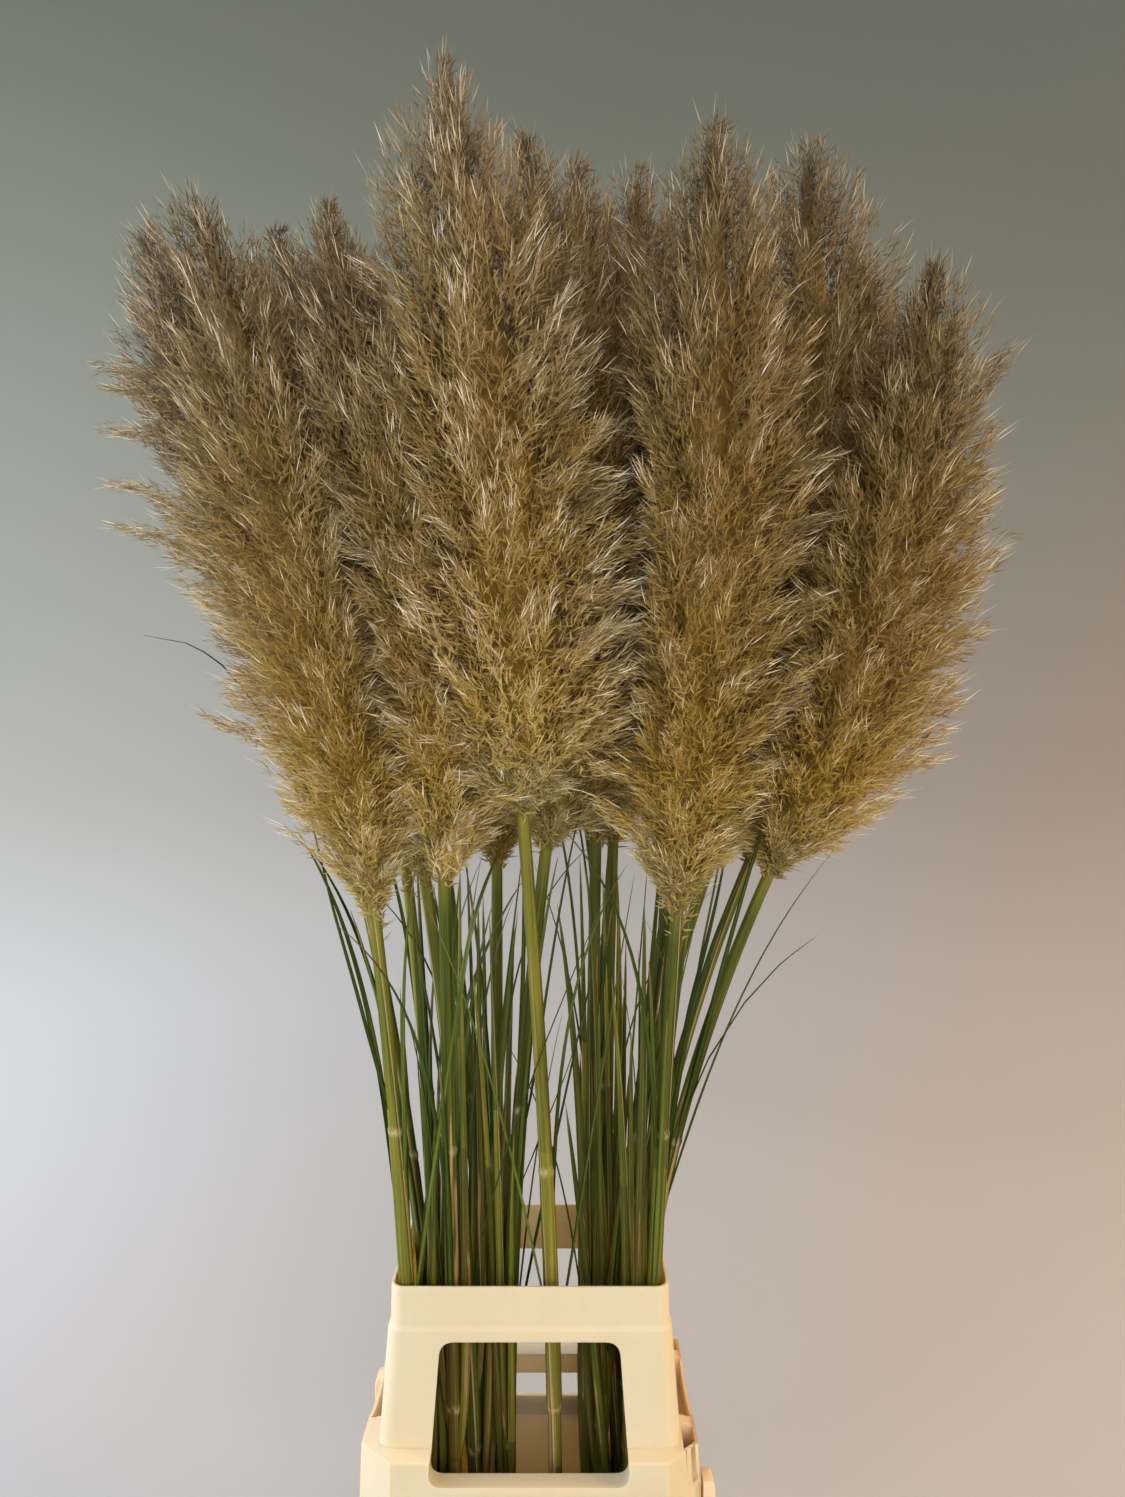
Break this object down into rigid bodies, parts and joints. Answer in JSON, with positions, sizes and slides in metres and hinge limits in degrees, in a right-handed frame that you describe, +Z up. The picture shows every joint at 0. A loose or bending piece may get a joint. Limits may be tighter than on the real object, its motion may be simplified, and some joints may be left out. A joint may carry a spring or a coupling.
{
  "type": "pampas grass plant",
  "caption": "Bunch of tall cut pampas grass with shaggy plumes on leafy green stems, standing in water in a flower bucket with a windowed collar.",
  "frame": {"origin": "middle of the bucket's underside", "axes": "+Z up, -Y towards the front with the window, +X to the right seen from the front"},
  "size_m": [0.9592, 0.6165, 1.822],
  "materials": {
    "bucket": "moulded cream plastic, satin",
    "collar": "moulded cream plastic, satin",
    "water": "still water",
    "leafy_stem": "green grass cane with sheaths and leaves",
    "plume": "dry straw-coloured hairy spikelets"
  },
  "bodies": {
    "root": {"bucket": "bucket", "collar": "collar", "water": "water", "stem_01": "leafy_stem", "stem_02": "leafy_stem", "stem_03": "leafy_stem", "stem_04": "leafy_stem", "stem_05": "leafy_stem", "stem_06": "leafy_stem", "stem_07": "leafy_stem", "stem_08": "leafy_stem", "stem_09": "leafy_stem", "stem_10": "leafy_stem", "stem_11": "leafy_stem", "stem_12": "leafy_stem", "stem_13": "leafy_stem", "stem_14": "leafy_stem", "stem_15": "leafy_stem", "stem_16": "leafy_stem", "plume_01": "plume", "plume_02": "plume", "plume_03": "plume", "plume_04": "plume", "plume_05": "plume", "plume_06": "plume", "plume_07": "plume", "plume_08": "plume", "plume_09": "plume", "plume_10": "plume", "plume_11": "plume", "plume_12": "plume", "plume_13": "plume", "plume_14": "plume", "plume_15": "plume", "plume_16": "plume"}
  },
  "joints": []
}
